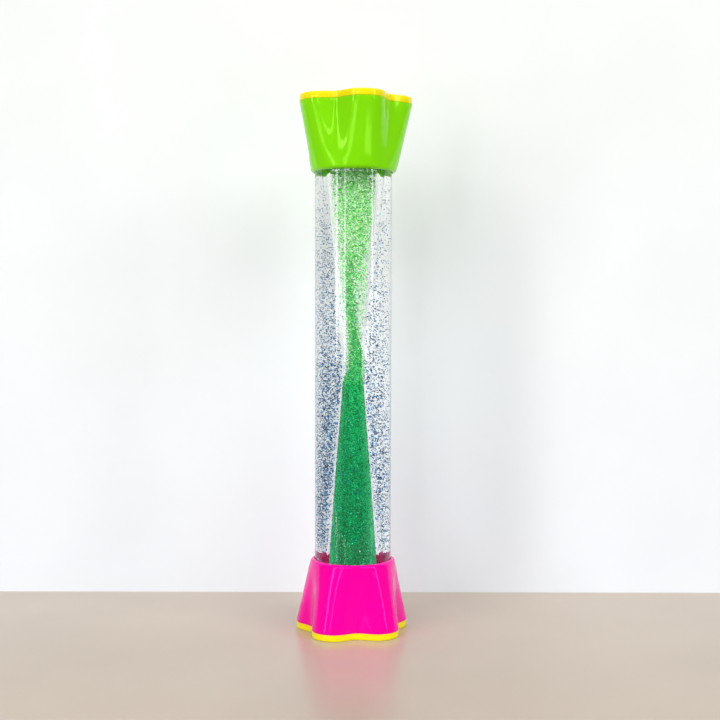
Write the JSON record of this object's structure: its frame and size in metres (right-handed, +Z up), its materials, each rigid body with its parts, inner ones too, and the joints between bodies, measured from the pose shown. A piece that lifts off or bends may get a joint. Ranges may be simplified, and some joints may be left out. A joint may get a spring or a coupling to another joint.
{
  "type": "sensory bottle",
  "caption": "Clear liquid-filled toy tube with an hourglass of green glitter inside, closed by lobed caps with flat plates so that it stands on either end.",
  "frame": {"origin": "middle of the bottom plate's flat resting face, on the tube's axis", "axes": "+Z up along the tube, -Y the front, +X to the right of someone facing it"},
  "size_m": [0.0663, 0.0659, 0.305],
  "materials": {
    "yellow_plastic": "glossy moulded yellow",
    "pink_plastic": "glossy moulded hot pink",
    "lime_plastic": "glossy moulded lime green",
    "clear_plastic": "crystal clear, polished",
    "white_plastic": "plain white moulding",
    "seal_rubber": "black rubber",
    "stopper_rubber": "grey rubber",
    "cushion_foam": "soft closed-cell foam",
    "clear_liquid": "clear liquid",
    "green_liquid": "light green liquid",
    "green_glitter": "packed emerald glitter",
    "blue_glitter": "packed blue glitter"
  },
  "bodies": {
    "root": {"bottom_plate": "yellow_plastic", "bottom_cap": "pink_plastic", "bottom_plug": "white_plastic", "bottom_seal": "seal_rubber", "bottom_cushion": "cushion_foam", "bottom_stopper": "stopper_rubber", "lower_cone": "clear_plastic", "upper_cone": "clear_plastic", "outer_tube": "clear_plastic", "outer_liquid": "clear_liquid", "outer_glitter": "blue_glitter", "inner_liquid": "green_liquid", "inner_glitter": "green_glitter", "top_stopper": "stopper_rubber", "cone_fill_pin": "white_plastic", "top_cushion": "cushion_foam", "top_plug": "white_plastic", "tube_fill_pin": "white_plastic", "top_seal": "seal_rubber", "top_cap": "lime_plastic", "top_plate": "yellow_plastic"}
  },
  "joints": []
}
